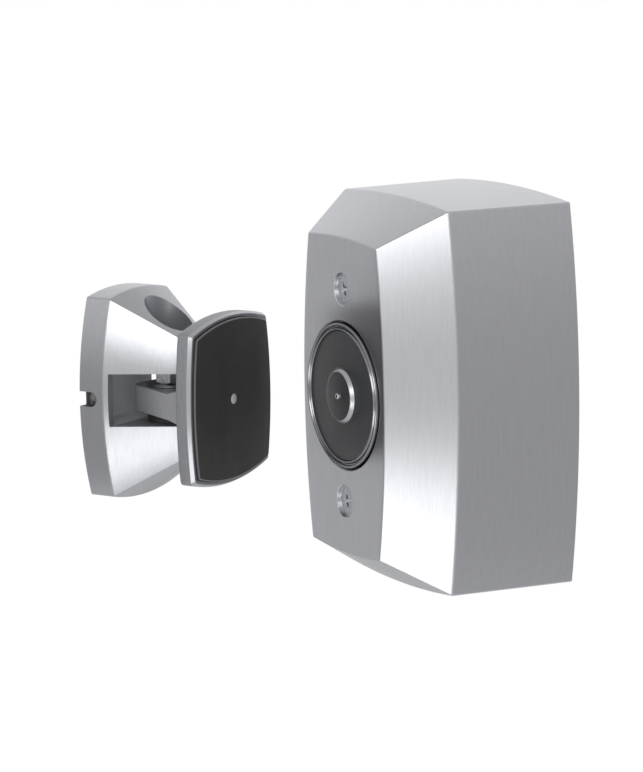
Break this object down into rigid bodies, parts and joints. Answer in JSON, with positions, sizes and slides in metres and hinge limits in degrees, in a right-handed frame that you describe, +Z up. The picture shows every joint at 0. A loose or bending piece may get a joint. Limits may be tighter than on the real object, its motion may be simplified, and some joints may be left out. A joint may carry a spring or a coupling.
{
  "type": "electromagnetic door holder",
  "caption": "Wall magnet in a bevelled brushed housing with a round face, and a swivelling armature plate on a slotted door base.",
  "frame": {"origin": "middle of the wall plate's back face, on the wall", "axes": "+Z up, +Y into the wall, so the magnet faces -Y; +X to the right seen from the room"},
  "size_m": [0.1109, 0.1481, 0.1368],
  "materials": {
    "brushed_aluminium": "brushed satin",
    "cast_satin": "satin, lightly brushed edges",
    "plated_steel": "zinc plated",
    "screw_steel": "plated",
    "spring_steel": "bright",
    "polished_steel": "turned, nickel plated",
    "dark_armature": "dark, smooth",
    "filler": "potting compound",
    "coil_plastic": "moulded nylon",
    "copper": "enamelled wire",
    "pin_brass": "turned",
    "grommet_rubber": "soft",
    "board": "laminate with lacquer",
    "terminal_plastic": "moulded"
  },
  "bodies": {
    "fixed": {"housing": "brushed_aluminium", "cover_screws": "screw_steel", "wall_plate": "plated_steel", "magnet_bracket": "plated_steel", "bracket_screws": "screw_steel", "magnet_cup": "polished_steel", "pole_core": "polished_steel", "coil_former": "coil_plastic", "coil_winding": "copper", "face_filler": "filler", "pin_spring": "spring_steel", "magnet_bolt": "screw_steel", "lock_washer": "spring_steel", "lead_grommet": "grommet_rubber", "circuit_board": "board", "board_spacers": "coil_plastic", "board_screws": "screw_steel", "terminal_block": "terminal_plastic", "terminal_screws": "screw_steel", "rectifier": "filler", "earth_screw": "pin_brass", "door_base": "brushed_aluminium", "pivot_bolt": "screw_steel", "pivot_washers": "screw_steel"},
    "swivel": {"armature_carrier": "cast_satin", "armature_plate": "dark_armature", "armature_rivet": "screw_steel", "pivot_bush": "pin_brass"},
    "pin": {"release_pin": "pin_brass"}
  },
  "joints": [
    {"name": "armature_swivel", "type": "hinge", "parent": "fixed", "child": "swivel", "pos_m": [-0.03581, -0.11741, 0], "axis": [0, 0, 1], "range_deg": [-60, 50]},
    {"name": "release_pin_slide", "type": "slide", "parent": "fixed", "child": "pin", "axis": [0, 1, 0], "range_m": [0, 0.0009], "stiffness_N_per_m": 600, "springref_m": -0.0025, "deforming": ["pin_spring"]}
  ]
}
